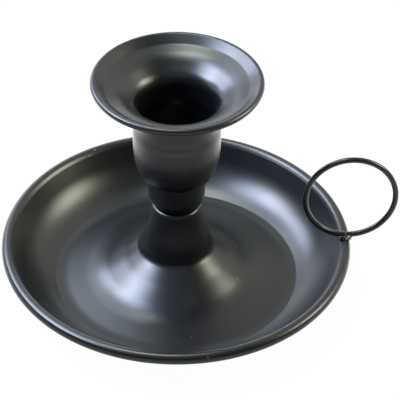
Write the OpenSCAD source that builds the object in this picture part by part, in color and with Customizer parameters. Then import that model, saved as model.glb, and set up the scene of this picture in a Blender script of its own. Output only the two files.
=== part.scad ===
// Chamber candlestick: a pressed drip pan with a hollow neck, a candle cup screwed to the
// neck, and a wire ring handle welded on the rolled rim.
// The table is at z = 0, the stem stands on the Z axis and the ring handle is at +X.

/* [Sheet] */
// Thickness of the sheet steel of the pan and the cup
sheet_t = 0.8; // [0.6:0.05:0.9]

/* [Drip pan] */
// Diameter of the pan over its rolled rim
pan_d = 110; // [100:1:130]
// Height of the pan from the table to the top of the rim
pan_h = 15; // [12:0.5:20]
// Diameter of the rolled rim's section
rim_bead_d = 3.6; // [3:0.1:4.2]
// Part of a turn that the rim's curl makes past its top, in degrees
rim_curl_turn = 205; // [160:5:220]
// Diameter of the fold where the floor meets the wall
floor_d = 77; // [72:1:86]
// Radius of the fold between floor and wall
fold_r = 1.5; // [1:0.5:3]
// Angle by which the wall leaves the floor flatter than a line from fold to rim, in degrees
wall_dip = 19; // [16:0.5:21]
// Angle by which the wall meets the rim steeper than that line, in degrees
wall_rise = 14.5; // [12:0.5:16]
// Length of the wall's straight part next to the fold, where its hollow curve starts
wall_straight_l = 2.3; // [1:0.1:3]
// Where on the rim's round section its flatter inner side starts, in degrees past the outward side
rim_start = 140; // [130:1:144]
// Width of that flatter inner side, from the round section to the crease at the wall
rim_side_l = 0.8; // [0.4:0.1:1.4]
// Radius of the crease between the wall and the rim's inner side
rim_crease_r = 1.2; // [1:0.1:2]

/* [Floor and cone] */
// Width of the flat seat ring inside the fold, on which the pan stands
seat_w = 1.1; // [0.8:0.1:3]
// Radius of the curve between the seat ring and the floor's shallow cone
seat_curve_r = 18; // [10:1:24]
// Slope of the floor's shallow cone, in degrees
floor_slope = 9; // [5:0.5:11]
// Diameter of the corner between the shallow cone and the steep one
cone_foot_d = 50; // [46:0.2:54]
// Radius of the curve in that corner
cone_foot_r = 20; // [4:0.5:22]
// Slope of the steep cone next to its foot, in degrees
cone_slope = 33; // [30:0.5:36]
// Diameter at which the steep cone turns a little steeper towards the neck
cone_bend_d = 33; // [32:0.5:36]
// Radius of the curve there
cone_bend_r = 30; // [15:1:40]
// Slope of the steep cone next to the neck, in degrees
cone_top_slope = 42; // [38:0.5:45]

/* [Neck] */
// Diameter of the corner between the cone and the neck's side
neck_foot_d = 22.8; // [21.6:0.2:26]
// Radius of the curve in that corner
neck_foot_r = 6; // [2:0.5:8]
// Height of the neck's top above the table, where the cup is seated
neck_h = 29.1; // [24:0.5:36]
// Diameter of the neck at its top
neck_d = 15.3; // [14.6:0.1:16.2]
// Radius of the rounded shoulder at the neck's top
shoulder_r = 1; // [0.95:0.05:2]
// Draft of the neck's side at its top, in degrees
neck_draft = 4; // [2:0.5:6]
// Height of the neck's upper part, from its top to the corner where it starts to widen
neck_upper_h = 6; // [5:0.5:8]
// Length of the straight side left between the shoulder and the neck's long hollow curve
neck_straight_l = 0.9; // [0.3:0.1:1.5]

/* [Candle cup] */
// Diameter of the lower barrel
lower_d = 17.6; // [16:0.1:19]
// Outer radius of the lower barrel's bottom corner
lower_corner_r = 4.2; // [2:0.1:4.5]
// Height of the lower barrel, from its seat to the barrel's lowest point
lower_h = 10.4; // [8:0.2:14]
// Radius of the hollow corner between the two barrels
step_r = 0.6; // [0.3:0.1:1]
// Radius of the barrel's rounded lower edge
barrel_edge_r = 5.8; // [4:0.2:6.4]
// Radius of the barrel's gentle curve between its rounded edge and its straight side
barrel_curve_r = 37; // [30:1:60]
// Length of the barrel's straight side
barrel_side_l = 2.9; // [1:0.1:4]
// How far the barrel stands out from the throat
waist_depth = 0.8; // [0.5:0.1:1.5]
// Radius of the two curves between the barrel and the throat
waist_r = 8; // [4:0.5:9]
// Bore of the throat that grips the candle
throat_d = 23.5; // [22:0.1:25]
// Length of the throat's straight bore
throat_l = 3.5; // [3:0.5:6]
// Height of the throat's top above the seat
throat_top_h = 35.3; // [34:0.1:40]

/* [Flange] */
// Diameter of the flange over its lip
flange_d = 51.5; // [46:0.5:60]
// Radius of the curve from the throat into the mouth
mouth_r = 6; // [3:0.5:7]
// Slope of the mouth next to the throat, in degrees
mouth_slope = 38; // [34:0.5:48]
// How far out the corner between mouth and flange lies, as a share of the way to the border
flange_bend_share = 0.54; // [0.5:0.01:0.58]
// Radius of the curve in that corner
flange_bend_r = 13; // [4:0.5:14]
// Slope of the flange, in degrees
flange_slope = 21; // [17:0.5:26]
// Width of the flange's turned-up border with its lip
border_w = 3.75; // [3.2:0.05:4.2]
// Radius of the curve in which the flange turns up into its border
border_r = 8; // [4:0.5:9]
// Slope of the border, in degrees
border_slope = 36; // [30:0.5:40]
// Diameter of the hemmed lip's section
lip_d = 2; // [1.6:0.1:2.4]

/* [Ring handle] */
// Outer diameter of the ring
ring_d = 30; // [26:0.5:40]
// Diameter of the ring's wire
wire_d = 1.8; // [1.5:0.1:3]
// Opening between the ring's two ends, inside the weld
ring_end_gap = 0.4; // [0.2:0.1:0.8]
// Gap between the wire and the rim, filled by the weld
weld_gap = 0.1; // [0.05:0.05:0.2]
// How far round the rim's section the ring stands outward from its top, in degrees
ring_outward = 3.5; // [0:0.5:8]
// Lean of the ring to its left, in degrees
ring_lean = 4; // [0:0.5:8]
// Turn of the ring about the upright, in degrees
ring_turn = 2; // [0:0.5:8]
// Diameter of the weld's largest bead
weld_d = 3.2; // [2.8:0.1:4]

/* [Fixing] */
// Diameter of the fixing screw's shank
screw_d = 4; // [3:0.5:5]
// Length of the screw under its head
screw_l = 8; // [7:0.5:14]
// Diameter of the screw's head
screw_head_d = 8; // [6:0.5:8]
// Height of the screw's head
screw_head_h = 2.4; // [1.5:0.1:3]
// Clearance of the holes in cup, pan and washers round the screw, on diameter
hole_clearance = 0.5; // [0.3:0.1:0.8]
// Clearance of the nut's bore round the screw, on diameter
nut_clearance = 0.1; // [0.05:0.05:0.2]
// Outer diameter of the plain washer
washer_d = 9; // [8:0.5:10]
// Thickness of the plain washer
washer_t = 0.8; // [0.5:0.1:1.2]
// Outer diameter of the spring washer
spring_d = 7; // [6.5:0.5:8]
// Thickness of the spring washer
spring_t = 1; // [0.8:0.1:1.4]
// Width of the slit in the spring washer
spring_slit = 0.8; // [0.5:0.1:1.2]
// Nut's width across flats
nut_af = 7; // [6:0.5:8]
// Height of the nut
nut_h = 3.2; // [2.4:0.1:4]

/* [Hidden] */
$fn = 96;
// Largest turn that one straight stretch of a rounded corner makes, in degrees
bend_step = 3.5;

black_paint = [0.07, 0.07, 0.075];
worn_paint = [0.16, 0.16, 0.16];
zinc = [0.7, 0.71, 0.73];

// Clearance hole for the screw in every sheet and washer
hole_r = (screw_d + hole_clearance) / 2;

// A point at an angle on a circle, and the points of an arc of it
function on_circle(c, r, a) = c + r * [cos(a), sin(a)];
function arc(c, r, from, to, steps) =
    [for (i = [0:steps]) on_circle(c, r, from + (to - from) * i / steps)];

// Direction at an angle, and the direction a quarter turn to the left of another
function heading(a) = [cos(a), sin(a)];
function left_of(v) = [-v[1], v[0]];

// Where a line through p at one angle crosses a line through q at another
function crossing(p, p_angle, q, q_angle) =
    p + cross(q - p, heading(q_angle)) / cross(heading(p_angle), heading(q_angle)) * heading(p_angle);

// The arc of radius r that rounds the corner b on the way from a to c. The centre stays where it
// is when the face is shifted to the left, so both faces of a sheet are rounded about one point.
function bend(a, b, c, r, shift) =
    let (
        u = (b - a) / norm(b - a),
        v = (c - b) / norm(c - b),
        side = sign(cross(u, v)),
        turn = acos(u * v),
        centre = b - r * tan(turn / 2) * u + side * r * left_of(u),
        from = atan2(-side * left_of(u)[1], -side * left_of(u)[0])
    )
    arc(centre, r - side * shift, from, from + side * turn, max(1, ceil(turn / bend_step)));

// All the rounded corners of one face of a sheet
function rounded(corners, radii, shift) =
    [for (k = [0:len(radii) - 1])
        each bend(corners[k], corners[k + 1], corners[k + 2], radii[k], shift)];

// Pan, seen as a half section: the corners of its upper face, from the screw's hole outward
rim_r = rim_bead_d / 2;
rim_c = [pan_d / 2 - rim_r, pan_h - rim_r];
bead_start = on_circle(rim_c, rim_r, rim_start);
rim_crease = bead_start - rim_side_l * heading(rim_start - 90);
fold_corner = [floor_d / 2, sheet_t];
wall_line = atan2(rim_crease[1] - fold_corner[1], rim_crease[0] - fold_corner[0]);
wall_base_slope = wall_line - wall_dip;
wall_corner = crossing(fold_corner, wall_base_slope, rim_crease, wall_line + wall_rise);
wall_curve_r = (norm(wall_corner - fold_corner) - wall_straight_l) / tan((wall_dip + wall_rise) / 2);
seat_in_r = floor_d / 2 - fold_r * tan(wall_base_slope / 2) - seat_w;
seat_corner = [seat_in_r - seat_curve_r * tan(floor_slope / 2), sheet_t];
cone_foot = crossing([cone_foot_d / 2, 0], 90, seat_corner, 180 - floor_slope);
cone_bend = crossing([cone_bend_d / 2, 0], 90, cone_foot, 180 - cone_slope);
neck_foot = crossing([neck_foot_d / 2, 0], 90, cone_bend, 180 - cone_top_slope);
neck_top = [neck_d / 2, neck_h];
neck_waist = neck_top + neck_upper_h / cos(neck_draft) * heading(270 + neck_draft);
neck_turn = 180 - atan2(neck_waist[1] - neck_foot[1], neck_waist[0] - neck_foot[0]);
neck_curve_room = norm(neck_top - neck_waist) - shoulder_r * tan(45 - neck_draft / 2) - neck_straight_l;
neck_curve_r = neck_curve_room / tan((90 - neck_draft - neck_turn) / 2);
pan_corners = [[hole_r, neck_h], neck_top, neck_waist, neck_foot, cone_bend, cone_foot,
    seat_corner, fold_corner, wall_corner, rim_crease, bead_start];
pan_radii = [shoulder_r, neck_curve_r, neck_foot_r, cone_bend_r, cone_foot_r, seat_curve_r,
    fold_r, wall_curve_r, rim_crease_r];
curl_end = 90 - rim_curl_turn;
curl_steps = 32;

// Cup, seen as a half section
seat_z = neck_h;
lower_r = lower_d / 2;
corner_c = [lower_r - lower_corner_r, seat_z + lower_corner_r];
throat_r = throat_d / 2;
throat_top_z = seat_z + throat_top_h;
throat_base_z = throat_top_z - throat_l;
barrel_r = throat_r + sheet_t + waist_depth;
waist_turn = acos(1 - waist_depth / (2 * waist_r));
waist_low_c = [barrel_r - waist_r, throat_base_z - 2 * waist_r * sin(waist_turn)];
waist_high_c = [throat_r + sheet_t + waist_r, throat_base_z];
barrel_c = [barrel_r - barrel_curve_r, waist_low_c[1] - barrel_side_l];
edge_z = seat_z + lower_h + barrel_edge_r;
// Angle below the level at which the barrel's curve passes into its rounded edge
edge_start = asin((barrel_c[1] - edge_z) / (barrel_curve_r - barrel_edge_r));
edge_c = on_circle(barrel_c, barrel_curve_r - barrel_edge_r, -edge_start);
edge_end = acos((lower_r + step_r - edge_c[0]) / (barrel_edge_r + step_r));
step_c = on_circle(edge_c, barrel_edge_r + step_r, -edge_end);
border_in_r = flange_d / 2 - border_w;
flange_bend_at = throat_r + (border_in_r - throat_r) * flange_bend_share;
mouth_corner = [throat_r, throat_top_z + mouth_r * tan((90 - mouth_slope) / 2)];
bend_corner = crossing([flange_bend_at, 0], 90, mouth_corner, mouth_slope);
border_corner = crossing([border_in_r, 0], 90, bend_corner, flange_slope);
lip_r = lip_d / 2;
// The lip's centre lies a lip radius under the end of the border's upper face
border_end_r = flange_d / 2 - lip_r - lip_r * sin(border_slope);
border_end = crossing([border_end_r, 0], 90, border_corner, border_slope);
lip_c = border_end - lip_r * left_of(heading(border_slope));
flange_corners = [[throat_r, throat_base_z], mouth_corner, bend_corner, border_corner,
    border_end];
flange_radii = [mouth_r, flange_bend_r, border_r];

// Ring, measured from the centre of the rim's bead
ring_r = (ring_d - wire_d) / 2;
wire_r = wire_d / 2;
ring_lift = rim_r + weld_gap + wire_r;

// Fixing stack under the neck's top
washer_top_z = neck_h - sheet_t;
spring_top_z = washer_top_z - washer_t;
nut_top_z = spring_top_z - spring_t;
cup_floor_z = seat_z + sheet_t;

module pan_section() {
    upper = concat(
        [[hole_r, neck_h]],
        rounded(pan_corners, pan_radii, 0),
        arc(rim_c, rim_r, rim_start, curl_end, curl_steps)
    );
    under = concat(
        [[hole_r, neck_h - sheet_t]],
        rounded(pan_corners, pan_radii, -sheet_t),
        arc(rim_c, rim_r - sheet_t, rim_start, curl_end, curl_steps)
    );
    polygon(concat(upper, [for (k = [len(under) - 1:-1:0]) under[k]]));
}

// One face of the cup from its bottom up: out is 0 for the inner face, the sheet for the outer
function cup_face(out) = concat(
    arc(corner_c, lower_corner_r - sheet_t + out, -90, 0, 16),
    arc(step_c, step_r + sheet_t - out, 180, 180 - edge_end, 6),
    arc(edge_c, barrel_edge_r - sheet_t + out, -edge_end, -edge_start, 14),
    arc(barrel_c, barrel_curve_r - sheet_t + out, -edge_start, 0, 8),
    arc(waist_low_c, waist_r - sheet_t + out, 0, waist_turn, 5),
    arc(waist_high_c, waist_r + sheet_t - out, 180 + waist_turn, 180, 5),
    rounded(flange_corners, flange_radii, -out),
    [border_end - out * left_of(heading(border_slope))]
);

module cup_section() {
    outside = concat([[hole_r, seat_z]], cup_face(sheet_t));
    inside = concat([[hole_r, cup_floor_z]], cup_face(0));
    polygon(concat(outside, [for (k = [len(inside) - 1:-1:0]) inside[k]]));
    translate(lip_c) circle(lip_r);
}

// Puts its children where the ring stands: the origin is the centre of the rim's bead
// under the ring, and Z is the ring's upright.
module at_ring_foot() {
    translate([rim_c[0], 0, rim_c[1]]) rotate([-ring_lean, ring_outward, ring_turn]) children();
}

module ring_wire(opening) {
    translate([0, 0, ring_lift + ring_r]) rotate([90, 0, 0])
        rotate_extrude(angle = 360 - opening, start = opening / 2 - 90)
            translate([ring_r, 0]) circle(wire_r);
}

module drip_pan() {
    color(black_paint) rotate_extrude() pan_section();
}

module candle_cup() {
    color(black_paint) rotate_extrude() cup_section();
}

module ring_handle() {
    gap_angle = ring_end_gap / ring_r * 180 / PI;
    color(black_paint) at_ring_foot() ring_wire(gap_angle);
}

// Weld: a main bead between rim and wire, with a smaller one run out on each side
module handle_weld() {
    weld_z = rim_r + weld_gap / 2;
    run_out = weld_d * 0.45;
    color(worn_paint) difference() {
        union() {
            at_ring_foot() translate([0, 0, weld_z]) sphere(weld_d / 2);
            at_ring_foot() translate([-run_out, -wire_r / 2, weld_z]) sphere(weld_d * 0.36);
            at_ring_foot() translate([run_out, -wire_r / 3, weld_z]) sphere(weld_d * 0.34);
        }
        at_ring_foot() ring_wire(0);
        rotate_extrude() translate(rim_c) circle(rim_r);
    }
}

module fixing_screw() {
    recess_w = screw_head_d * 0.14;
    recess_l = screw_head_d * 0.56;
    recess_h = screw_head_h * 0.6;
    head_corner_r = screw_head_h * 0.5;
    color(zinc) difference() {
        translate([0, 0, cup_floor_z]) rotate_extrude() {
            translate([0, -screw_l]) square([screw_d / 2, screw_l]);
            square([screw_head_d / 2, screw_head_h - head_corner_r]);
            square([screw_head_d / 2 - head_corner_r, screw_head_h]);
            translate([screw_head_d / 2 - head_corner_r, screw_head_h - head_corner_r])
                circle(head_corner_r);
        }
        for (turn = [0, 90])
            rotate([0, 0, turn])
                translate([-recess_l / 2, -recess_w / 2, cup_floor_z + screw_head_h - recess_h])
                    cube([recess_l, recess_w, screw_head_h]);
    }
}

module washer(outer_d, thickness, top_z) {
    translate([0, 0, top_z - thickness]) difference() {
        cylinder(h = thickness, d = outer_d);
        translate([0, 0, -thickness]) cylinder(h = 3 * thickness, r = hole_r);
    }
}

module plain_washer() {
    color(zinc) washer(washer_d, washer_t, washer_top_z);
}

module spring_washer() {
    color(zinc) difference() {
        washer(spring_d, spring_t, spring_top_z);
        translate([0, -spring_slit / 2, spring_top_z - 2 * spring_t])
            cube([spring_d, spring_slit, 3 * spring_t]);
    }
}

module fixing_nut() {
    color(zinc) translate([0, 0, nut_top_z - nut_h]) difference() {
        cylinder(h = nut_h, r = nut_af / 2 / cos(30), $fn = 6);
        translate([0, 0, -nut_h]) cylinder(h = 3 * nut_h, d = screw_d + nut_clearance);
    }
}

drip_pan();
candle_cup();
ring_handle();
handle_weld();
fixing_screw();
plain_washer();
spring_washer();
fixing_nut();
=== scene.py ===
"""Chamber candlestick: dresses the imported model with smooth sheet-metal pieces, paint and studio light.

Lengths are millimetres in the settings and metres in the meshes. The table is at z = 0, the stem stands on
the Z axis and the ring handle is at +X.
"""

import math

import bmesh
import bpy
from bpy.props import FloatProperty, FloatVectorProperty, PointerProperty
from mathutils import Euler, Matrix, Vector, noise


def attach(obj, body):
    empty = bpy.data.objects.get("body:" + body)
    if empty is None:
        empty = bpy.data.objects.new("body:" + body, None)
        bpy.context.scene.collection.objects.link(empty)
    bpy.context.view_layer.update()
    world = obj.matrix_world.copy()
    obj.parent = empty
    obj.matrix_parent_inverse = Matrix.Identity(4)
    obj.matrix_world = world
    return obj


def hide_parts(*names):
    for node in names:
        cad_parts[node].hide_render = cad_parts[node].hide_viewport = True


bl_info = {
    "name": "Chamber Candlestick",
    "version": (1, 0, 0),
    "blender": (4, 5, 0),
    "location": "View3D > Sidebar > Candlestick",
    "description": "Builds a painted steel chamber candlestick with its ring handle and studio stage",
    "category": "Add Mesh",
}

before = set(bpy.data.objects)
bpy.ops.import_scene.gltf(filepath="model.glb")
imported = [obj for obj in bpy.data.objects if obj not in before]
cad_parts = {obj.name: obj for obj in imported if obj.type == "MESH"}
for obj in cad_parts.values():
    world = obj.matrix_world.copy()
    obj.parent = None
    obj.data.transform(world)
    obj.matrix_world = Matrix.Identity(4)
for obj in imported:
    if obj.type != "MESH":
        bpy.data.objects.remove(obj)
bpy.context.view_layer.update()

MM = 0.001
SHEET = 0.8
ROUND = 192
MADE = {}


def length(name, default, description):
    """A length in millimetres for a settings group."""
    return FloatProperty(name=name, description=description, default=default, min=0.01, precision=2)


def angle(name, default, description):
    """An angle for a settings group, given in degrees."""
    return FloatProperty(name=name, description=description, default=math.radians(default), unit="ROTATION")


def colour(name, default, description):
    """A linear colour for a settings group."""
    return FloatVectorProperty(name=name, description=description, default=default, size=3,
                               subtype="COLOR", min=0, max=1)


def amount(name, default, description):
    """A share between 0 and 1 for a settings group."""
    return FloatProperty(name=name, description=description, default=default, min=0, max=1, subtype="FACTOR")


class PanSizes(bpy.types.PropertyGroup):
    """Sizes of the drip pan with its hollow neck"""

    pan_d: length("Pan diameter", 110, "Diameter over the rolled rim")
    pan_h: length("Pan height", 15, "Height from the table to the top of the rim")
    bead_d: length("Rim bead", 3.6, "Diameter of the rolled rim's section")
    rim_start: angle("Rim start", 140, "Where on the rim's round section its flatter inner side starts")
    rim_side: length("Rim side", 0.8, "Width of that flatter inner side, up to the crease at the wall")
    crease_r: length("Crease radius", 1.2, "Radius of the crease between the wall and the rim's inner side")
    curl_turn: angle("Rim curl", 205, "Turn that the rim's curl makes past its top")
    floor_d: length("Fold diameter", 77, "Diameter of the fold where the floor meets the wall")
    fold_r: length("Fold radius", 1.5, "Radius of the fold between floor and wall")
    wall_dip: angle("Wall dip", 19, "How much flatter the wall leaves the floor than a line from fold to rim")
    wall_rise: angle("Wall rise", 14.5, "How much steeper the wall meets the rim than that line")
    wall_straight: length("Wall straight", 2.3, "Length of the wall's straight part next to the fold")
    seat_w: length("Seat width", 1.1, "Width of the flat seat ring inside the fold")
    seat_curve_r: length("Seat curve", 18, "Radius of the curve between the floor's cone and its flat seat")
    floor_slope: angle("Floor slope", 9, "Slope of the floor's shallow cone")
    cone_foot_d: length("Cone foot", 50, "Diameter at which the shallow floor meets the steeper cone")
    cone_foot_r: length("Cone foot radius", 20, "Radius of the curve there")
    cone_slope: angle("Cone slope", 34.5, "Slope of the steep cone next to its foot")
    cone_bend_d: length("Cone bend", 33, "Diameter at which the steep cone turns a little steeper")
    cone_bend_r: length("Cone bend radius", 30, "Radius of the curve there")
    cone_top_slope: angle("Cone top slope", 38, "Slope of the steep cone next to the neck")
    neck_foot_d: length("Neck foot", 22.8, "Diameter at which the cone meets the neck's side")
    neck_foot_r: length("Neck foot radius", 4.5, "Radius of the curve there")
    neck_h: length("Neck height", 29.1, "Height of the neck's top above the table")
    neck_d: length("Neck diameter", 15.3, "Diameter of the neck at its top")
    neck_draft: angle("Neck draft", 4, "Draft of the neck's side at its top")
    neck_upper_h: length("Neck upper height", 6, "Height from the neck's top to the corner where it widens")
    neck_straight: length("Neck straight", 0.9, "Straight side between the shoulder and the neck's curve")
    shoulder_r: length("Shoulder radius", 1, "Radius of the rounded shoulder at the neck's top")


class CupSizes(bpy.types.PropertyGroup):
    """Sizes of the candle cup"""

    lower_d: length("Lower barrel", 17.6, "Diameter of the lower barrel")
    lower_corner_r: length("Bottom corner", 4.2, "Radius of the lower barrel's bottom corner")
    lower_h: length("Lower height", 10.4, "Height from the seat to the barrel's lowest point")
    step_r: length("Step radius", 0.6, "Radius of the hollow corner between the two barrels")
    barrel_edge_r: length("Barrel edge", 5.8, "Radius of the barrel's rounded lower edge")
    barrel_curve_r: length("Barrel curve", 37, "Radius of the barrel's gentle curve")
    barrel_side: length("Barrel side", 2.9, "Length of the barrel's straight side")
    waist_depth: length("Waist depth", 0.8, "How far the barrel stands out from the throat")
    waist_r: length("Waist radius", 8, "Radius of the two curves between barrel and throat")
    throat_d: length("Throat", 23.5, "Bore that grips the candle")
    throat_l: length("Throat length", 3.5, "Length of the straight bore")
    throat_top_h: length("Throat height", 35.3, "Height of the throat's top above the seat")
    flange_d: length("Flange", 51.5, "Diameter of the flange over its lip")
    mouth_r: length("Mouth radius", 6, "Radius of the curve from the throat into the mouth's cone")
    mouth_slope: angle("Mouth slope", 38, "Slope of the mouth's cone next to the throat")
    bend_share: amount("Flange bend", 0.59, "How far out the mouth meets the flange, on the way to the border")
    bend_r: length("Flange bend radius", 13, "Radius of the curve from the mouth's cone into the flange")
    flange_slope: angle("Flange slope", 20, "Slope of the flange")
    border_w: length("Border", 4.2, "Width of the flange's turned-up border with its lip")
    border_r: length("Border radius", 3, "Radius of the curve in which the flange turns up")
    border_slope: angle("Border slope", 37, "Slope of the border")
    lip_d: length("Lip", 2, "Diameter of the hemmed lip's section")


class RingSizes(bpy.types.PropertyGroup):
    """Sizes of the ring handle and its weld"""

    ring_d: length("Ring", 30, "Outer diameter of the ring")
    wire_d: length("Wire", 1.8, "Diameter of the ring's wire")
    end_gap: length("End gap", 0.4, "Opening between the ring's ends, inside the weld")
    weld_gap: length("Weld gap", 0.1, "Gap between wire and rim, filled by the weld")
    outward: angle("Outward", 3.5, "How far round the rim's section the ring stands outward")
    lean: angle("Lean", 4, "Lean of the ring to its left")
    turn: angle("Turn", 2, "Turn of the ring about the upright")
    weld_d: length("Weld", 3.2, "Diameter of the weld's largest bead")


class FixingSizes(bpy.types.PropertyGroup):
    """Sizes of the screw, washers and nut"""

    screw_d: length("Screw", 4, "Diameter of the screw's shank")
    screw_l: length("Screw length", 8, "Length of the screw under its head")
    head_d: length("Head", 8, "Diameter of the screw's head")
    head_h: length("Head height", 2.4, "Height of the screw's head")
    pitch: length("Thread pitch", 0.7, "Pitch of the screw's thread")
    clearance: length("Hole clearance", 0.5, "Clearance of the holes round the screw, on diameter")
    washer_d: length("Washer", 9, "Outer diameter of the plain washer")
    washer_t: length("Washer thickness", 0.8, "Thickness of the plain washer")
    spring_d: length("Spring washer", 7, "Outer diameter of the spring washer")
    spring_t: length("Spring thickness", 1, "Thickness of the spring washer")
    spring_slit: length("Spring slit", 0.8, "Width of the slit in the spring washer")
    nut_af: length("Nut", 7, "Nut's width across flats")
    nut_h: length("Nut height", 3.2, "Height of the nut")


class Finishes(bpy.types.PropertyGroup):
    """Colours and gloss of the object's finishes"""

    paint: colour("Paint", (0.0022, 0.0024, 0.0032), "Satin black paint")
    paint_thin: colour("Thin paint", (0.0046, 0.0048, 0.0056), "Paint where it is thin or dusty")
    paint_gloss: amount("Paint roughness", 0.32, "Roughness of the satin paint")
    dust: colour("Dust", (0.32, 0.31, 0.30), "Dust specks on the paint")
    weld_bright: colour("Bare weld", (0.62, 0.60, 0.57), "Bare metal on the weld's high spots")
    zinc: colour("Zinc", (0.44, 0.45, 0.47), "Zinc plating of the fixings")
    floor: colour("Floor", (0.82, 0.82, 0.82), "Studio floor")


class Settings(bpy.types.PropertyGroup):
    """Everything that a user of the candlestick may change"""

    pan: PointerProperty(type=PanSizes)
    cup: PointerProperty(type=CupSizes)
    ring: PointerProperty(type=RingSizes)
    fixing: PointerProperty(type=FixingSizes)
    finish: PointerProperty(type=Finishes)


class Socket:
    """Wraps a shader socket, so that maths on it is written as Python expressions."""

    def __init__(self, tree, out):
        self.tree = tree
        self.out = out

    def _math(self, operation, a, b=None, c=None, clamp=False):
        values = {0: a, 1: b, 2: c}
        return self.tree.node("ShaderNodeMath", {"operation": operation, "use_clamp": clamp},
                              {i: v for i, v in values.items() if v is not None})

    def __add__(self, other):
        return self._math("ADD", self, other)

    def __radd__(self, other):
        return self._math("ADD", other, self)

    def __sub__(self, other):
        return self._math("SUBTRACT", self, other)

    def __rsub__(self, other):
        return self._math("SUBTRACT", other, self)

    def __mul__(self, other):
        return self._math("MULTIPLY", self, other)

    def __rmul__(self, other):
        return self._math("MULTIPLY", other, self)

    def __truediv__(self, other):
        return self._math("DIVIDE", self, other)

    def __pow__(self, other):
        return self._math("POWER", self, other)

    def clamp(self):
        return self._math("ADD", self, 0, clamp=True)

    def above(self, low, high):
        """0 below low, 1 above high and even between them."""
        return self.tree.node("ShaderNodeMapRange", {"clamp": True, "interpolation_type": "SMOOTHSTEP"},
                              {"Value": self, "From Min": low, "From Max": high})


class Shader:
    """A material's node tree."""

    def __init__(self, name):
        self.material = bpy.data.materials.new(name)
        self.material.use_nodes = True
        self.nodes = self.material.node_tree.nodes
        self.links = self.material.node_tree.links
        self.nodes.clear()

    def node(self, kind, settings=None, inputs=None, output=0):
        made = self.nodes.new(kind)
        for key, value in (settings or {}).items():
            if key == "stops":
                ramp = made.color_ramp
                for at, tint in value:
                    stop = ramp.elements.new(at)
                    stop.color = tint
                ramp.elements.remove(ramp.elements[0])
                ramp.elements.remove(ramp.elements[-1])
            else:
                setattr(made, key, value)
        for key, value in (inputs or {}).items():
            self.feed(made.inputs[key], value)
        return Socket(self, made.outputs[output])

    def feed(self, socket, value):
        if isinstance(value, Socket):
            self.links.new(value.out, socket)
        elif hasattr(socket.default_value, "__len__") and not hasattr(value, "__len__"):
            socket.default_value = [value] * len(socket.default_value)
        elif hasattr(socket.default_value, "__len__") and len(socket.default_value) > len(value):
            socket.default_value = list(value) + [1.0]
        else:
            socket.default_value = value

    def place(self):
        """Position on the object in metres."""
        return self.node("ShaderNodeTexCoord", output="Object")

    def grain(self, where, scale, detail=2.0, rough=0.5):
        return self.node("ShaderNodeTexNoise", {"noise_dimensions": "3D"},
                         {"Vector": where, "Scale": scale, "Detail": detail, "Roughness": rough})

    def cells(self, where, scale, feature="F1"):
        return self.node("ShaderNodeTexVoronoi", {"feature": feature}, {"Vector": where, "Scale": scale})

    def blend(self, share, a, b):
        made = self.nodes.new("ShaderNodeMix")
        made.data_type = "RGBA"
        self.feed(made.inputs[0], share)
        self.feed(made.inputs[6], a)
        self.feed(made.inputs[7], b)
        return Socket(self, made.outputs[2])

    def bump(self, height, strength, distance, below=None):
        inputs = {"Height": height, "Strength": strength, "Distance": distance}
        if below is not None:
            inputs["Normal"] = below
        return self.node("ShaderNodeBump", None, inputs)

    def surface(self, **values):
        shader = self.node("ShaderNodeBsdfPrincipled", None,
                           {key.replace("_", " "): value for key, value in values.items()})
        output = self.nodes.new("ShaderNodeOutputMaterial")
        self.links.new(shader.out, output.inputs["Surface"])
        return self.material


def paint_material(finish):
    """Satin black paint: fine orange peel, faint clouding, thin dust and a few light specks."""
    sh = Shader("satin_black_paint_finish")
    at = sh.place()
    clouds = sh.grain(at, 45, 3, 0.55)
    peel = sh.grain(at, 900, 2, 0.5)
    fine = sh.grain(at, 4200, 1, 0.5)
    dusty = sh.grain(at, 140, 4, 0.6).above(0.52, 0.75)
    speck = 1 - sh.cells(at, 210).above(0.03, 0.06)
    rare = sh.grain(at, 60, 1, 0.5).above(0.61, 0.64)
    specks = speck * rare
    base = sh.blend(dusty * 0.5, finish.paint, finish.paint_thin)
    base = sh.blend(specks * 0.6, base, finish.dust)
    rough = finish.paint_gloss + (clouds - 0.5) * 0.06 + (fine - 0.5) * 0.04 + dusty * 0.03
    normal = sh.bump(peel, 0.10, 0.00004)
    normal = sh.bump(specks, 0.3, 0.00005, normal)
    return sh.surface(Base_Color=base, Roughness=rough, Normal=normal)


def weld_material(finish):
    """Rough weld under thin paint, bare and bright on its high spots."""
    sh = Shader("painted_weld_finish")
    at = sh.place()
    lumps = sh.grain(at, 1100, 4, 0.65)
    bare = sh.grain(at, 1500, 3, 0.6).above(0.51, 0.60)
    base = sh.blend(bare, finish.paint_thin, finish.weld_bright)
    rough = 0.42 + (lumps - 0.5) * 0.3
    return sh.surface(Base_Color=base, Metallic=bare * 0.6, Roughness=rough, Normal=sh.bump(lumps, 0.7, 0.0003))


def zinc_material(finish):
    """Bright zinc plating with faint clouding and fine turning marks."""
    sh = Shader("zinc_plating_finish")
    at = sh.place()
    clouds = sh.grain(at, 350, 4, 0.6)
    fine = sh.grain(at, 5200, 2, 0.5)
    base = sh.blend(clouds.above(0.35, 0.7), finish.zinc, tuple(0.78 * c for c in finish.zinc))
    rough = 0.42 + (clouds - 0.5) * 0.2
    return sh.surface(Base_Color=base, Metallic=1.0, Roughness=rough, Normal=sh.bump(fine, 0.15, 0.00002))


# Floor brightness seen in reflections is painted light: this level is a painted shadow right in front of the object,
# and the gains add a painted pool of light behind it and a lighter floor further in front.
FLOOR_PAINTED_SHADOW = 0.82
FLOOR_PAINTED_LIGHT = [
    # depth in metres where the gain starts and where it is full, gain
    (-0.06, 0.08, 1.6),
    (-0.085, -0.15, 0.35),
]


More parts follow.
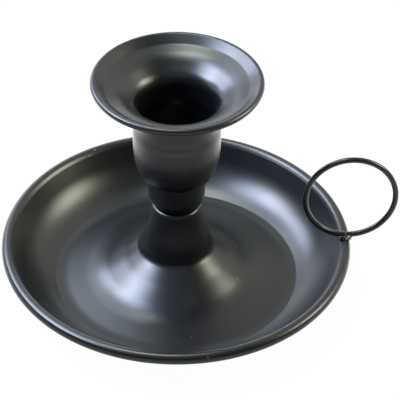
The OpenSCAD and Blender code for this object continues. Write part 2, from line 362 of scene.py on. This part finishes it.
def floor_material(finish):
    """White studio floor, apart from the object's faint shadow. In reflections its brightness is painted light: a
    painted shadow right in front of the object and a painted pool of light behind it, where it is brightest.
    """
    sh = Shader("studio_floor")
    diffuse = sh.node("ShaderNodeBsdfDiffuse", None, {"Color": finish.floor})
    where = sh.node("ShaderNodeNewGeometry", output="Position")
    depth = sh.node("ShaderNodeSeparateXYZ", None, {"Vector": where}, output="Y")
    # Painted shadow in front of the object and painted light behind it, as the floor's brightness in reflections.
    lit = FLOOR_PAINTED_SHADOW
    for start, end, gain in FLOOR_PAINTED_LIGHT:
        ends = {"Value": depth, "From Min": start, "From Max": end, "To Min": 0.0, "To Max": gain}
        lit = sh.node("ShaderNodeMapRange", {"interpolation_type": "SMOOTHSTEP"}, ends, output="Result") + lit
    glossy = sh.node("ShaderNodeLightPath", output="Is Glossy Ray")
    white = sh.node("ShaderNodeEmission", None, {"Color": (1, 1, 1), "Strength": (lit - 1.0) * glossy + 1.0})
    seen = glossy
    for kind in ("Is Camera Ray", "Is Transmission Ray"):
        seen = seen + sh.node("ShaderNodeLightPath", output=kind)
    shader = sh.node("ShaderNodeMixShader", None, {0: seen.clamp() * 0.98, 1: diffuse, 2: white})
    output = sh.nodes.new("ShaderNodeOutputMaterial")
    sh.links.new(shader.out, output.inputs["Surface"])
    return sh.material


def on_circle(centre, radius, turn):
    """Point at an angle on a circle in a section."""
    return (centre[0] + radius * math.cos(turn), centre[1] + radius * math.sin(turn))


def arc(centre, radius, start, end, steps):
    """Points of an arc in a section."""
    return [on_circle(centre, radius, start + (end - start) * i / steps) for i in range(steps + 1)]


def bend(before, corner, after, radius, shift, steps):
    """Arc that rounds a corner, with its centre kept while the face is shifted to the left by shift."""
    u = Vector(corner) - Vector(before)
    v = Vector(after) - Vector(corner)
    u.normalize()
    v.normalize()
    side = 1 if u.x * v.y - u.y * v.x > 0 else -1
    half = u.angle(v) / 2
    start = Vector(corner) - u * radius * math.tan(half)
    left = Vector((-u.y, u.x))
    centre = start + left * radius * side
    from_turn = math.atan2(-left.y * side, -left.x * side)
    return arc(centre, radius - shift * side, from_turn, from_turn + side * 2 * half, steps)


def lathe(name, section, segments=ROUND, close=True):
    """Turns a section of (radius, height) points in millimetres about the stem's axis."""
    mesh = bpy.data.meshes.new(name)
    bm = bmesh.new()
    rings = []
    for r, z in section:
        rings.append([bm.verts.new((r * MM * math.cos(a), r * MM * math.sin(a), z * MM))
                      for a in (2 * math.pi * i / segments for i in range(segments))])
    count = len(rings)
    for k in range(count if close else count - 1):
        low, high = rings[k], rings[(k + 1) % count]
        for i in range(segments):
            j = (i + 1) % segments
            bm.faces.new((low[i], low[j], high[j], high[i]))
    bmesh.ops.recalc_face_normals(bm, faces=bm.faces)
    bm.to_mesh(mesh)
    bm.free()
    return link(name, mesh)


def link(name, mesh):
    """Puts a mesh in the scene, smooth but for its real edges."""
    for face in mesh.polygons:
        face.use_smooth = True
    mesh.set_sharp_from_angle(angle=math.radians(38))
    piece = bpy.data.objects.new(name, mesh)
    bpy.context.scene.collection.objects.link(piece)
    return piece


def stand_in(piece, node, material):
    """The piece takes a CAD node's place on the object."""
    piece.data.materials.clear()
    piece.data.materials.append(material)
    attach(piece, "root")
    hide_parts(node)


def finish_of(make):
    """The finish that a function makes, made the first time that it is asked for."""
    if make not in MADE:
        MADE[make] = make(bpy.context.scene.candlestick.finish)
    return MADE[make]


def intersection(p, slope_p, q, slope_q):
    """Where two straight lines of a section cross, given a point and an angle of each."""
    d = Vector((math.cos(slope_p), math.sin(slope_p)))
    e = Vector((math.cos(slope_q), math.sin(slope_q)))
    gap = Vector(q) - Vector(p)
    t = (gap.x * e.y - gap.y * e.x) / (d.x * e.y - d.y * e.x)
    return Vector(p) + d * t


def ray(turn):
    """Direction at an angle in a section."""
    return Vector((math.cos(turn), math.sin(turn)))


def outward(r, p, slope):
    """Point at radius r on the straight line through p that rises by slope on the way out."""
    return Vector((r, p[1] + (r - p[0]) * math.tan(slope)))


def rounded(corners, radii, shift, steps):
    """All the rounded corners of one face of a sheet, shifted to the left by shift."""
    points = []
    for k, radius in enumerate(radii):
        points += bend(*corners[k:k + 3], radius, shift, steps[k])
    return points


def pan_section(s, hole_r):
    """Closed section of the pan: upper face outward over the rim, then the under face back."""
    rim_r = s.bead_d / 2
    rim_c = (s.pan_d / 2 - rim_r, s.pan_h - rim_r)
    bead = Vector(on_circle(rim_c, rim_r, s.rim_start))
    crease = bead - ray(s.rim_start - math.pi / 2) * s.rim_side
    fold = Vector((s.floor_d / 2, SHEET))
    line = math.atan2(crease.y - fold.y, crease.x - fold.x)
    wall = intersection(fold, line - s.wall_dip, crease, line + s.wall_rise)
    wall_room = (wall - fold).length - s.wall_straight
    wall_r = wall_room / math.tan((s.wall_dip + s.wall_rise) / 2)
    seat_in = s.floor_d / 2 - s.fold_r * math.tan((line - s.wall_dip) / 2) - s.seat_w
    seat = Vector((seat_in - s.seat_curve_r * math.tan(s.floor_slope / 2), SHEET))
    foot = outward(s.cone_foot_d / 2, seat, -s.floor_slope)
    cone = outward(s.cone_bend_d / 2, foot, -s.cone_slope)
    collar = outward(s.neck_foot_d / 2, cone, -s.cone_top_slope)
    top = Vector((s.neck_d / 2, s.neck_h))
    reach = s.neck_upper_h / math.cos(s.neck_draft)
    waist = top + ray(math.radians(270) + s.neck_draft) * reach
    neck_turn = math.atan2(waist.y - collar.y, collar.x - waist.x)
    neck_room = reach - s.shoulder_r * math.tan((math.pi / 2 - s.neck_draft) / 2) - s.neck_straight
    neck_r = neck_room / math.tan((math.pi / 2 - s.neck_draft - neck_turn) / 2)
    corners = [(hole_r, s.neck_h), top, waist, collar, cone, foot, seat, fold, wall, crease, bead]
    radii = [s.shoulder_r, neck_r, s.neck_foot_r, s.cone_bend_r, s.cone_foot_r, s.seat_curve_r, s.fold_r, wall_r,
             s.crease_r]
    steps = [10, 20, 14, 8, 20, 12, 8, 36, 3]
    curl_end = math.pi / 2 - s.curl_turn
    upper = [(hole_r, s.neck_h)] + rounded(corners, radii, 0, steps)
    upper += arc(rim_c, rim_r, s.rim_start, curl_end, 54)
    under = [(hole_r, s.neck_h - SHEET)] + rounded(corners, radii, -SHEET, steps)
    under += arc(rim_c, rim_r - SHEET, s.rim_start, curl_end, 54)
    return upper + under[::-1]


def cup_section(s, neck_h, hole_r):
    """Closed section of the cup: outer face upward, over the lip, then the inner face back."""
    pi = math.pi
    lower_r = s.lower_d / 2
    throat_r = s.throat_d / 2
    barrel_r = throat_r + SHEET + s.waist_depth
    throat_top = neck_h + s.throat_top_h
    throat_base = throat_top - s.throat_l
    turn = math.acos(1 - s.waist_depth / (2 * s.waist_r))
    low_c = (barrel_r - s.waist_r, throat_base - 2 * s.waist_r * math.sin(turn))
    high_c = (throat_r + SHEET + s.waist_r, throat_base)
    barrel_c = (barrel_r - s.barrel_curve_r, low_c[1] - s.barrel_side)
    edge_z = neck_h + s.lower_h + s.barrel_edge_r
    edge_start = math.asin((barrel_c[1] - edge_z) / (s.barrel_curve_r - s.barrel_edge_r))
    edge_c = on_circle(barrel_c, s.barrel_curve_r - s.barrel_edge_r, -edge_start)
    edge_end = math.acos((lower_r + s.step_r - edge_c[0]) / (s.barrel_edge_r + s.step_r))
    step_c = on_circle(edge_c, s.barrel_edge_r + s.step_r, -edge_end)
    corner_c = (lower_r - s.lower_corner_r, neck_h + s.lower_corner_r)
    border_in = s.flange_d / 2 - s.border_w
    mouth = Vector((throat_r, throat_top + s.mouth_r * math.tan((pi / 2 - s.mouth_slope) / 2)))
    bend_at = outward(throat_r + (border_in - throat_r) * s.bend_share, mouth, s.mouth_slope)
    border = outward(border_in, bend_at, s.flange_slope)
    lip_r = s.lip_d / 2
    end = outward(s.flange_d / 2 - lip_r - lip_r * math.sin(s.border_slope), border, s.border_slope)
    lip_c = end - ray(s.border_slope + pi / 2) * lip_r
    flange = [(throat_r, throat_base), mouth, bend_at, border, end]

    def face(out):
        """One face of the sheet, from the bottom up: out is 0 for the inner face and the sheet for the outer."""
        points = arc(corner_c, s.lower_corner_r - SHEET + out, -pi / 2, 0, 16)
        points += arc(step_c, s.step_r + SHEET - out, pi, pi - edge_end, 8)
        points += arc(edge_c, s.barrel_edge_r - SHEET + out, -edge_end, -edge_start, 18)
        points += arc(barrel_c, s.barrel_curve_r - SHEET + out, -edge_start, 0, 14)
        points += arc(low_c, s.waist_r - SHEET + out, 0, turn, 10)
        points += arc(high_c, s.waist_r + SHEET - out, pi + turn, pi, 10)
        return points + rounded(flange, [s.mouth_r, s.bend_r, s.border_r], -out, [20, 12, 10])

    outside = [(hole_r, neck_h)] + face(SHEET)
    inside = [(hole_r, neck_h + SHEET)] + face(0)
    lip = arc(lip_c, lip_r, s.border_slope - pi / 2 - math.radians(40), s.border_slope + pi / 2, 30)
    return outside + lip + inside[::-1]


class BuildPan(bpy.types.Operator):
    """Makes the drip pan with its hollow neck and rolled rim"""

    bl_idname = "candlestick.pan"
    bl_label = "Drip pan"

    def execute(self, context):
        settings = context.scene.candlestick
        hole_r = (settings.fixing.screw_d + settings.fixing.clearance) / 2
        piece = lathe("pan_pressing", pan_section(settings.pan, hole_r))
        stand_in(piece, "drip_pan", finish_of(paint_material))
        return {"FINISHED"}


class BuildCup(bpy.types.Operator):
    """Makes the candle cup with its flange and hemmed lip"""

    bl_idname = "candlestick.cup"
    bl_label = "Candle cup"

    def execute(self, context):
        settings = context.scene.candlestick
        hole_r = (settings.fixing.screw_d + settings.fixing.clearance) / 2
        piece = lathe("cup_pressing", cup_section(settings.cup, settings.pan.neck_h, hole_r))
        stand_in(piece, "candle_cup", finish_of(paint_material))
        return {"FINISHED"}


def ring_foot(settings):
    """Matrix of the place on the rim's bead under the ring: its Z is the ring's upright."""
    pan, ring = settings.pan, settings.ring
    rim_r = pan.bead_d / 2
    place = Vector((pan.pan_d / 2 - rim_r, 0, pan.pan_h - rim_r)) * MM
    lean = Euler((-ring.lean, ring.outward, ring.turn), "XYZ").to_matrix().to_4x4()
    return Matrix.Translation(place) @ lean


def tube(name, centres, sides, radius, place, closed=False):
    """Round wire along a row of (point, inward direction, sideways direction) stations."""
    mesh = bpy.data.meshes.new(name)
    bm = bmesh.new()
    rings = []
    for point, inward, side in centres:
        ring = []
        for i in range(sides):
            a = 2 * math.pi * i / sides
            ring.append(bm.verts.new(place @ (point + (inward * math.cos(a) + side * math.sin(a)) * radius)))
        rings.append(ring)
    for low, high in zip(rings, rings[1:]):
        for i in range(sides):
            j = (i + 1) % sides
            bm.faces.new((low[i], low[j], high[j], high[i]))
    if not closed:
        bm.faces.new(rings[0])
        bm.faces.new(rings[-1])
    bmesh.ops.recalc_face_normals(bm, faces=bm.faces)
    bm.to_mesh(mesh)
    bm.free()
    return link(name, mesh)


class BuildRing(bpy.types.Operator):
    """Makes the upright wire ring"""

    bl_idname = "candlestick.ring"
    bl_label = "Ring handle"

    def execute(self, context):
        settings = context.scene.candlestick
        ring = settings.ring
        ring_r = (ring.ring_d - ring.wire_d) / 2
        lift = settings.pan.bead_d / 2 + ring.weld_gap + ring.wire_d / 2
        half_gap = ring.end_gap / ring_r / 2
        stations = []
        steps = 180
        for i in range(steps + 1):
            a = -math.pi / 2 + half_gap + (2 * math.pi - 2 * half_gap) * i / steps
            outward = Vector((math.cos(a), 0, math.sin(a)))
            point = (Vector((0, 0, lift + ring_r)) + outward * ring_r) * MM
            stations.append((point, outward, Vector((0, 1, 0))))
        piece = tube("ring_wire", stations, 28, ring.wire_d / 2 * MM, ring_foot(settings))
        stand_in(piece, "ring_handle", finish_of(paint_material))
        return {"FINISHED"}


class BuildWeld(bpy.types.Operator):
    """Makes the rough weld that joins the ring to the rim"""

    bl_idname = "candlestick.weld"
    bl_label = "Weld"

    def execute(self, context):
        settings = context.scene.candlestick
        ring = settings.ring
        place = ring_foot(settings)
        wire_r = ring.wire_d / 2
        weld_z = settings.pan.bead_d / 2 + ring.weld_gap / 2
        run_out = ring.weld_d * 0.36
        beads = [((0, 0, weld_z), ring.weld_d / 2), ((-run_out, -wire_r / 2, weld_z), ring.weld_d * 0.36),
                 ((run_out, -wire_r / 3, weld_z), ring.weld_d * 0.34)]
        bm = bmesh.new()
        for centre, radius in beads:
            spot = place @ Matrix.Translation(Vector(centre) * MM)
            bmesh.ops.create_icosphere(bm, subdivisions=4, radius=radius * 0.96 * MM, matrix=spot)
        for vert in bm.verts:
            wave = noise.noise(vert.co * 1600) * 0.10 + noise.noise(vert.co * 4200) * 0.05
            vert.co += (vert.co - place.translation).normalized() * wave * MM
        mesh = bpy.data.meshes.new("weld_bead")
        bm.to_mesh(mesh)
        bm.free()
        piece = link("weld_bead", mesh)
        stand_in(piece, "handle_weld", finish_of(weld_material))
        return {"FINISHED"}


def turned(name, stations, segments=96, ring=False):
    """Mesh about the stem's axis from (height, radius by turn) stations in millimetres, capped or closed in a ring."""
    mesh = bpy.data.meshes.new(name)
    bm = bmesh.new()
    rings = []
    for z, radius in stations:
        turns = [2 * math.pi * i / segments for i in range(segments)]
        rings.append([bm.verts.new((radius(a) * MM * math.cos(a), radius(a) * MM * math.sin(a), z * MM))
                      for a in turns])
    pairs = list(zip(rings, rings[1:])) + ([(rings[-1], rings[0])] if ring else [])
    for low, high in pairs:
        for i in range(segments):
            j = (i + 1) % segments
            bm.faces.new((low[i], low[j], high[j], high[i]))
    if not ring:
        bm.faces.new(rings[0])
        bm.faces.new(rings[-1])
    bmesh.ops.recalc_face_normals(bm, faces=bm.faces)
    bm.to_mesh(mesh)
    bm.free()
    return link(name, mesh)


def cut(piece, boxes):
    """Takes (place, size) boxes in millimetres out of a piece."""
    bm = bmesh.new()
    for place, size in boxes:
        spot = Matrix.Translation(Vector(place) * MM) @ Matrix.Diagonal((*(Vector(size) * MM), 1))
        bmesh.ops.create_cube(bm, size=1, matrix=spot)
    mesh = bpy.data.meshes.new("cutter")
    bm.to_mesh(mesh)
    bm.free()
    cutter = bpy.data.objects.new("cutter", mesh)
    bpy.context.scene.collection.objects.link(cutter)
    modifier = piece.modifiers.new("recess", "BOOLEAN")
    modifier.object = cutter
    modifier.solver = "EXACT"
    modifier.use_self = True
    shaped = bpy.data.meshes.new_from_object(piece.evaluated_get(bpy.context.evaluated_depsgraph_get()))
    piece.modifiers.clear()
    piece.data = shaped
    bpy.data.objects.remove(cutter)


class BuildFixing(bpy.types.Operator):
    """Makes the screw, washers and nut that hold the cup on the neck"""

    bl_idname = "candlestick.fixing"
    bl_label = "Fixings"

    def execute(self, context):
        settings = context.scene.candlestick
        s = settings.fixing
        neck_h = settings.pan.neck_h
        hole_r = (s.screw_d + s.clearance) / 2
        washer_z = neck_h - SHEET
        spring_z = washer_z - s.washer_t
        nut_z = spring_z - s.spring_t
        zinc = finish_of(zinc_material)
        screw = self.screw(s, neck_h + SHEET)
        stand_in(screw, "fixing_screw", zinc)
        washer = lathe("flat_washer", self.band(hole_r, s.washer_d / 2, washer_z - s.washer_t, washer_z, 0.12), 96)
        stand_in(washer, "plain_washer", zinc)
        stand_in(self.split_washer(s, hole_r, spring_z), "spring_washer", zinc)
        stand_in(self.nut(s, nut_z), "fixing_nut", zinc)
        return {"FINISHED"}

    def screw(self, s, seat):
        """Pan-head screw with a rolled thread, a rounded head and a cross recess."""
        shank_r = s.screw_d / 2
        tip = seat - s.screw_l
        depth = 0.55 * s.pitch

        def thread(z):
            lead_in = min(1, max(0, (z - tip) / 0.9))
            run_out = min(1, max(0, (seat - 0.5 - z) / 0.6))

            def radius(a):
                phase = (z / s.pitch - a / (2 * math.pi)) % 1
                crest = min(1, 1.25 * abs(2 * phase - 1))
                return shank_r - depth * (1 - crest) * run_out - 0.42 * (1 - lead_in)
            return radius

        steps = int(s.screw_l / s.pitch * 10)
        stations = [(tip + s.screw_l * i / steps, thread(tip + s.screw_l * i / steps)) for i in range(steps + 1)]
        head_r, head_h, corner = s.head_d / 2, s.head_h, s.head_h * 0.5
        profile = [(head_r - 0.15, 0), (head_r, 0.15), (head_r, head_h - corner)]
        profile += arc((head_r - corner, head_h - corner), corner, 0, math.pi / 2, 12)[1:]
        profile += [(head_r - corner - 0.6, head_h)]
        stations += [(seat + z, lambda a, r=r: r) for r, z in profile]
        piece = turned("cross_head_screw", stations, 72)
        wide, long, deep = s.head_d * 0.14, s.head_d * 0.56, s.head_h * 0.6
        middle = seat + s.head_h - deep / 2 + 0.5
        cut(piece, [((0, 0, middle), (long, wide, deep + 1)), ((0, 0, middle), (wide, long, deep + 1))])
        piece.data.set_sharp_from_angle(angle=math.radians(30))
        return piece

    def band(self, inner, outer, low, high, edge):
        """Closed section of a flat ring with broken edges."""
        return [(inner + edge, low), (outer - edge, low), (outer - edge * 0.3, low + edge * 0.3), (outer, low + edge),
                (outer, high - edge), (outer - edge * 0.3, high - edge * 0.3), (outer - edge, high),
                (inner + edge, high), (inner, high - edge), (inner, low + edge)]

    def split_washer(self, s, hole_r, top):
        """Square section swept round from one side of the slit to the other, its ends cut parallel to the slit."""
        section = self.band(hole_r, s.spring_d / 2, top - s.spring_t, top, 0.1)
        mesh = bpy.data.meshes.new("split_washer")
        bm = bmesh.new()
        rings = []
        steps = 96
        for i in range(steps + 1):
            ring = []
            for r, z in section:
                end = math.asin(s.spring_slit / 2 / r)
                a = end + (2 * math.pi - 2 * end) * i / steps
                ring.append(bm.verts.new((r * MM * math.cos(a), r * MM * math.sin(a), z * MM)))
            rings.append(ring)
        for low, high in zip(rings, rings[1:]):
            for i in range(len(section)):
                j = (i + 1) % len(section)
                bm.faces.new((low[i], low[j], high[j], high[i]))
        bm.faces.new(rings[0])
        bm.faces.new(rings[-1])
        bmesh.ops.recalc_face_normals(bm, faces=bm.faces)
        bm.to_mesh(mesh)
        bm.free()
        return link("split_washer", mesh)

    def nut(self, s, top):
        """Hexagon nut with chamfered corners on both faces and a countersunk bore."""
        flat_r = s.nut_af / 2
        sixth = math.pi / 3

        def side(rise):
            limit = flat_r * 0.965 + rise / math.tan(math.radians(30))
            return lambda a: min(flat_r / math.cos(a % sixth - sixth / 2), limit)

        def bore(z):
            flare = max(0, 0.3 - min(z - low, top - z))
            groove = 0.12 * abs(2 * ((z - low) / s.pitch % 1) - 1)
            return lambda a: s.screw_d / 2 + 0.02 + groove + flare

        low = top - s.nut_h
        rises = [0, 0.04, 0.08, 0.14, 0.2, 0.27, 0.35, 0.45, 0.6]
        stations = [(low + rise, side(rise)) for rise in rises]
        stations += [(top - rise, side(rise)) for rise in reversed(rises)]
        steps = 40
        stations += [(top - s.nut_h * i / steps, bore(top - s.nut_h * i / steps)) for i in range(steps + 1)]
        return turned("hexagon_nut", stations, 96, ring=True)


# Camera and lamps, in metres and degrees
CAMERA_AT = Vector((0.0, -0.4085, 0.3628))
CAMERA_PITCH = math.radians(39.19)
CAMERA_YAW = math.radians(1.02)
CAMERA_ROLL = math.radians(1.02)
CAMERA_LENS = 152.7
LAMP_REACH = 0.7
LAMPS = [
    # name, polar angle, azimuth from the far side towards +X, half width and height as angles, radiance, colour
    ("softbox_left", 46, -81, 17, 11, 17.5, (0.82, 0.88, 1.0)),
    ("softbox_left_top", 37, -92, 14, 14, 20.5, (0.62, 0.74, 1.0)),
    ("softbox_left_far", 57, -54, 10, 10, 18.0, (0.68, 0.76, 1.0)),
    ("softbox_right", 58, 89, 15, 11, 15.0, (1.0, 1.0, 0.78)),
    ("fill_right", 50, 51, 30, 30, 1.28, (1.0, 1.0, 0.92)),
    ("softbox_top", 12, -42, 8, 11, 20.0, (0.90, 1.0, 0.93)),
    ("softbox_far", 40, -34, 10, 12, 6.5, (0.74, 0.85, 1.0)),
    ("backdrop_far", 50, 0, 10, 8, 2.2, (0.92, 1.0, 0.97)),
    ("softbox_far_low", 57, -34, 13, 9, 3.0, (0.80, 0.88, 1.0)),
    ("backdrop_glow", 80, -11, 32, 15, 3.2, (0.92, 0.95, 1.0)),
    ("room_behind_camera", 38, 180, 30, 26, 0.42, (0.85, 0.92, 1.0)),
]


def heading(polar, azimuth):
    """Direction at an angle from the zenith and an azimuth from the far side towards +X."""
    p, a = math.radians(polar), math.radians(azimuth)
    return Vector((math.sin(p) * math.sin(a), math.sin(p) * math.cos(a), math.cos(p)))


class BuildStage(bpy.types.Operator):
    """Makes the floor, the lamps, the world and the camera"""

    bl_idname = "candlestick.stage"
    bl_label = "Stage"

    def execute(self, context):
        scene = context.scene
        self.floor(scene)
        self.world(scene)
        for lamp in LAMPS:
            self.lamp(scene, *lamp)
        self.camera(scene)
        scene.view_settings.view_transform = "Standard"
        return {"FINISHED"}

    def floor(self, scene):
        mesh = bpy.data.meshes.new("studio_floor")
        reach = 3.0
        corners = [(-reach, -reach, 0), (reach, -reach, 0), (reach, reach, 0), (-reach, reach, 0)]
        mesh.from_pydata(corners, [], [(0, 1, 2, 3)])
        mesh.materials.append(finish_of(floor_material))
        floor = bpy.data.objects.new("studio_floor", mesh)
        scene.collection.objects.link(floor)

    def world(self, scene):
        world = bpy.data.worlds.new("studio_world")
        world.use_nodes = True
        nodes, links = world.node_tree.nodes, world.node_tree.links
        nodes.clear()
        path = nodes.new("ShaderNodeLightPath")
        dim = nodes.new("ShaderNodeBackground")
        dim.inputs["Color"].default_value = (0.0, 0.0, 0.0, 1)
        white = nodes.new("ShaderNodeBackground")
        white.inputs["Color"].default_value = (1, 1, 1, 1)
        mix = nodes.new("ShaderNodeMixShader")
        out = nodes.new("ShaderNodeOutputWorld")
        links.new(path.outputs["Is Camera Ray"], mix.inputs[0])
        links.new(dim.outputs[0], mix.inputs[1])
        links.new(white.outputs[0], mix.inputs[2])
        links.new(mix.outputs[0], out.inputs["Surface"])
        scene.world = world

    def lamp(self, scene, name, polar, azimuth, wide, high, radiance, tint):
        """Oval softbox that looks at the object and is seen from there with an even brightness."""
        data = bpy.data.lights.new(name, "AREA")
        data.shape = "ELLIPSE"
        data.size = 2 * LAMP_REACH * math.tan(math.radians(wide))
        data.size_y = 2 * LAMP_REACH * math.tan(math.radians(high))
        data.energy = math.pi * radiance * math.pi * data.size * data.size_y / 4
        data.color = tint
        lamp = bpy.data.objects.new(name, data)
        towards = heading(polar, azimuth)
        lamp.location = towards * LAMP_REACH
        lamp.rotation_euler = towards.to_track_quat("Z", "Y").to_euler()
        scene.collection.objects.link(lamp)

    def camera(self, scene):
        data = bpy.data.cameras.new("photo_camera")
        data.lens = CAMERA_LENS
        data.sensor_width = 36
        camera = bpy.data.objects.new("photo_camera", data)
        ahead = Vector((math.sin(CAMERA_YAW) * math.cos(CAMERA_PITCH),
                        math.cos(CAMERA_YAW) * math.cos(CAMERA_PITCH), -math.sin(CAMERA_PITCH)))
        right = ahead.cross(Vector((0, 0, 1))).normalized()
        up = right.cross(ahead)
        tilted = right * math.cos(CAMERA_ROLL) + up * math.sin(CAMERA_ROLL)
        up = up * math.cos(CAMERA_ROLL) - right * math.sin(CAMERA_ROLL)
        axes = Matrix((tilted, up, -ahead)).transposed().to_4x4()
        camera.matrix_world = Matrix.Translation(CAMERA_AT) @ axes
        scene.collection.objects.link(camera)
        scene.camera = camera


class CandlestickPanel(bpy.types.Panel):
    """Lists the pieces of the candlestick"""

    bl_idname = "VIEW3D_PT_candlestick"
    bl_label = "Candlestick"
    bl_space_type = "VIEW_3D"
    bl_region_type = "UI"
    bl_category = "Candlestick"

    def draw(self, context):
        column = self.layout.column()
        for operator in OPERATORS:
            column.operator(operator.bl_idname)
        for group in ("pan", "cup", "ring", "fixing", "finish"):
            box = self.layout.box()
            settings = getattr(context.scene.candlestick, group)
            for name in settings.__annotations__:
                box.prop(settings, name)


GROUPS = (PanSizes, CupSizes, RingSizes, FixingSizes, Finishes, Settings)
OPERATORS = (BuildPan, BuildCup, BuildRing, BuildWeld, BuildFixing, BuildStage)


def register():
    for cls in GROUPS + OPERATORS + (CandlestickPanel,):
        bpy.utils.register_class(cls)
    bpy.types.Scene.candlestick = PointerProperty(type=Settings)


def unregister():
    del bpy.types.Scene.candlestick
    for cls in reversed(GROUPS + OPERATORS + (CandlestickPanel,)):
        bpy.utils.unregister_class(cls)


def main():
    register()
    bpy.ops.candlestick.pan()
    bpy.ops.candlestick.cup()
    bpy.ops.candlestick.ring()
    bpy.ops.candlestick.weld()
    bpy.ops.candlestick.fixing()
    bpy.ops.candlestick.stage()


if __name__ == "__main__":
    main()
